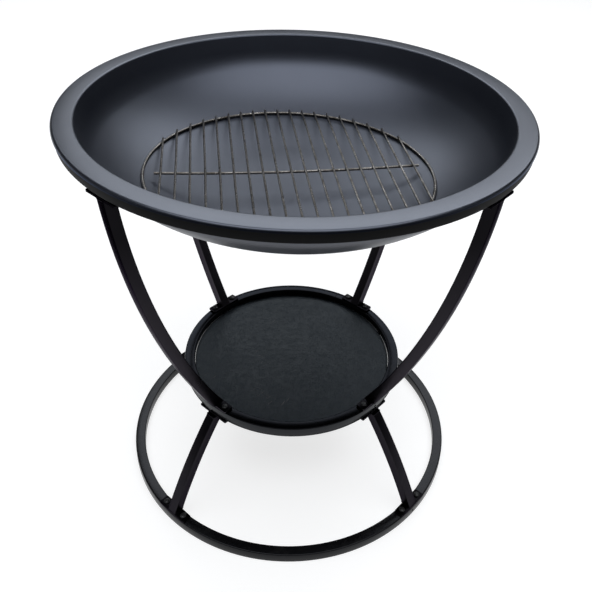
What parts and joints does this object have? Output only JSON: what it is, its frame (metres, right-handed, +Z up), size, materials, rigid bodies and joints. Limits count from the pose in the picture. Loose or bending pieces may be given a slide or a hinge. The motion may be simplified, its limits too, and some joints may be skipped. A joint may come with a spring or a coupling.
{
  "type": "fire pit",
  "caption": "Round fire bowl with a flat rim and a loose wire grate, hung in a bolted hourglass stand of bent square tube with a round shelf.",
  "frame": {"origin": "centre of the base ring's underside, on the floor", "axes": "+Z up along the bowl's axis, -Y towards the front of the picture, +X to its right"},
  "size_m": [0.6, 0.6, 0.574],
  "materials": {
    "bowl_enamel": "satin heat-proof paint",
    "stand_paint": "satin black powder coat",
    "shelf_paint": "matte black paint with scuffs",
    "grate_steel": "bare drawn wire",
    "fastener_zinc": "black zinc"
  },
  "bodies": {
    "stand": {"top_ring": "stand_paint", "mid_ring": "stand_paint", "base_ring": "stand_paint", "shelf_plate": "shelf_paint", "upper_leg_front_right": "stand_paint", "lower_leg_front_right": "stand_paint", "upper_leg_back_right": "stand_paint", "lower_leg_back_right": "stand_paint", "upper_leg_back_left": "stand_paint", "lower_leg_back_left": "stand_paint", "upper_leg_front_left": "stand_paint", "lower_leg_front_left": "stand_paint", "top_screw_front_right_a": "fastener_zinc", "mid_bolt_front_right_a": "fastener_zinc", "mid_nut_front_right_a": "fastener_zinc", "base_screw_front_right_a": "fastener_zinc", "top_screw_front_right_b": "fastener_zinc", "mid_bolt_front_right_b": "fastener_zinc", "mid_nut_front_right_b": "fastener_zinc", "base_screw_front_right_b": "fastener_zinc", "top_screw_back_right_a": "fastener_zinc", "mid_bolt_back_right_a": "fastener_zinc", "mid_nut_back_right_a": "fastener_zinc", "base_screw_back_right_a": "fastener_zinc", "top_screw_back_right_b": "fastener_zinc", "mid_bolt_back_right_b": "fastener_zinc", "mid_nut_back_right_b": "fastener_zinc", "base_screw_back_right_b": "fastener_zinc", "top_screw_back_left_a": "fastener_zinc", "mid_bolt_back_left_a": "fastener_zinc", "mid_nut_back_left_a": "fastener_zinc", "base_screw_back_left_a": "fastener_zinc", "top_screw_back_left_b": "fastener_zinc", "mid_bolt_back_left_b": "fastener_zinc", "mid_nut_back_left_b": "fastener_zinc", "base_screw_back_left_b": "fastener_zinc", "top_screw_front_left_a": "fastener_zinc", "mid_bolt_front_left_a": "fastener_zinc", "mid_nut_front_left_a": "fastener_zinc", "base_screw_front_left_a": "fastener_zinc", "top_screw_front_left_b": "fastener_zinc", "mid_bolt_front_left_b": "fastener_zinc", "mid_nut_front_left_b": "fastener_zinc", "base_screw_front_left_b": "fastener_zinc"},
    "bowl": {"bowl": "bowl_enamel"},
    "grate": {"grate": "grate_steel"}
  },
  "joints": [
    {"name": "bowl_lift", "type": "slide", "parent": "stand", "child": "bowl", "axis": [0, 0, 1], "range_m": [0, 0.17]},
    {"name": "grate_lift", "type": "slide", "parent": "bowl", "child": "grate", "axis": [0, 0, 1], "range_m": [0, 0.25]}
  ]
}
